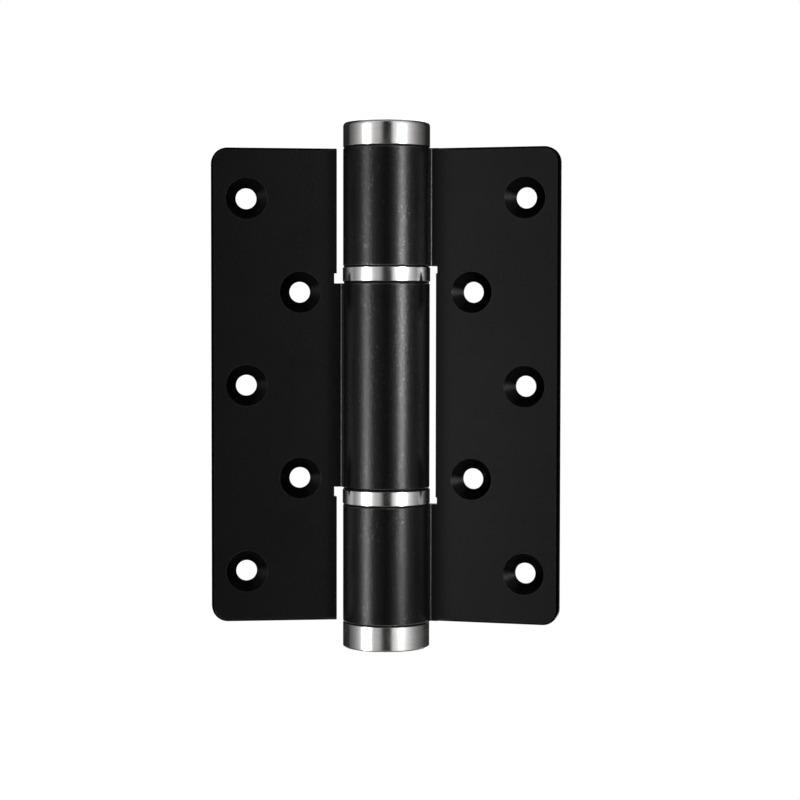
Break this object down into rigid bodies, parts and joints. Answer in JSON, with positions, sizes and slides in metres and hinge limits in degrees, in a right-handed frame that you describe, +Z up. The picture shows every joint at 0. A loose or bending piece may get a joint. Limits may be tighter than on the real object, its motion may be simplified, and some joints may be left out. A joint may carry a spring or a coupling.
{
  "type": "hydraulic spring hinge",
  "caption": "Self-closing door hinge with three knuckles, two countersunk leaves, bright end caps and rings, a closing spring and an oil damper inside the barrel.",
  "frame": {"origin": "on the pivot axis, level with the middle of the leaves", "axes": "+Z up along the pivot axis; the frame leaf lies along +X and its countersunk face looks towards -Y; the door leaf is folded 22.5 degrees from flat"},
  "size_m": [0.0917, 0.0275, 0.1408],
  "materials": {
    "black_paint": "matt black powder coat with a fine sand grain",
    "polished_steel": "turned and polished stainless steel",
    "turned_steel": "turned steel",
    "hardened_steel": "hardened and ground steel",
    "spring_steel": "oiled spring steel",
    "socket_steel": "dark stainless socket screw",
    "brass": "turned brass",
    "dark_polymer": "black acetal",
    "rubber": "nitrile rubber"
  },
  "bodies": {
    "frame": {"frame_leaf": "black_paint", "top_cap": "polished_steel", "bottom_cap": "polished_steel", "top_gasket": "dark_polymer", "bottom_gasket": "dark_polymer", "upper_ring": "polished_steel", "lower_ring": "polished_steel", "upper_thrust_washers": "dark_polymer", "lower_thrust_washers": "dark_polymer", "upper_journal": "turned_steel", "lower_journal": "turned_steel", "damper_cylinder": "turned_steel", "rod_seal": "rubber", "cap_o_ring": "rubber"},
    "door": {"door_leaf": "black_paint", "cam_sleeve": "hardened_steel", "cam_keys": "hardened_steel"},
    "plunger": {"plunger": "hardened_steel", "cross_pin": "hardened_steel", "main_spring": "spring_steel", "piston": "brass", "piston_seal": "rubber", "piston_nut": "turned_steel", "check_ball": "hardened_steel", "ball_retainer": "brass"},
    "tension_screw": {"tension_screw": "socket_steel", "screw_clip": "spring_steel"},
    "tension_nut": {"tension_nut": "turned_steel", "spring_seat": "hardened_steel"},
    "speed_valve": {"speed_valve": "socket_steel", "valve_seal": "rubber"}
  },
  "joints": [
    {"name": "door_swing", "type": "hinge", "parent": "frame", "child": "door", "pos_m": [0, 0, 0], "axis": [0, 0, 1], "range_deg": [-22.5, 157.5]},
    {"name": "plunger_slide", "type": "slide", "parent": "frame", "child": "plunger", "axis": [0, 0, 1], "range_m": [-0.00876, 0.00126], "deforming": ["main_spring"]},
    {"name": "tension_turn", "type": "hinge", "parent": "frame", "child": "tension_screw", "pos_m": [0, 0, 0], "axis": [0, 0, -1], "range_deg": [-360, 360]},
    {"name": "tension_nut_slide", "type": "slide", "parent": "frame", "child": "tension_nut", "axis": [0, 0, -1], "range_m": [-0.00126, 0.00126]},
    {"name": "speed_turn", "type": "hinge", "parent": "frame", "child": "speed_valve", "pos_m": [0, 0, 0], "axis": [0, 0, 1], "range_deg": [0, 270]}
  ],
  "couplings": [
    {"joint": "plunger_slide", "follows": "door_swing", "m_per_rad": -0.0031831},
    {"joint": "tension_nut_slide", "follows": "tension_turn", "m_per_rad": 0.00019894}
  ]
}
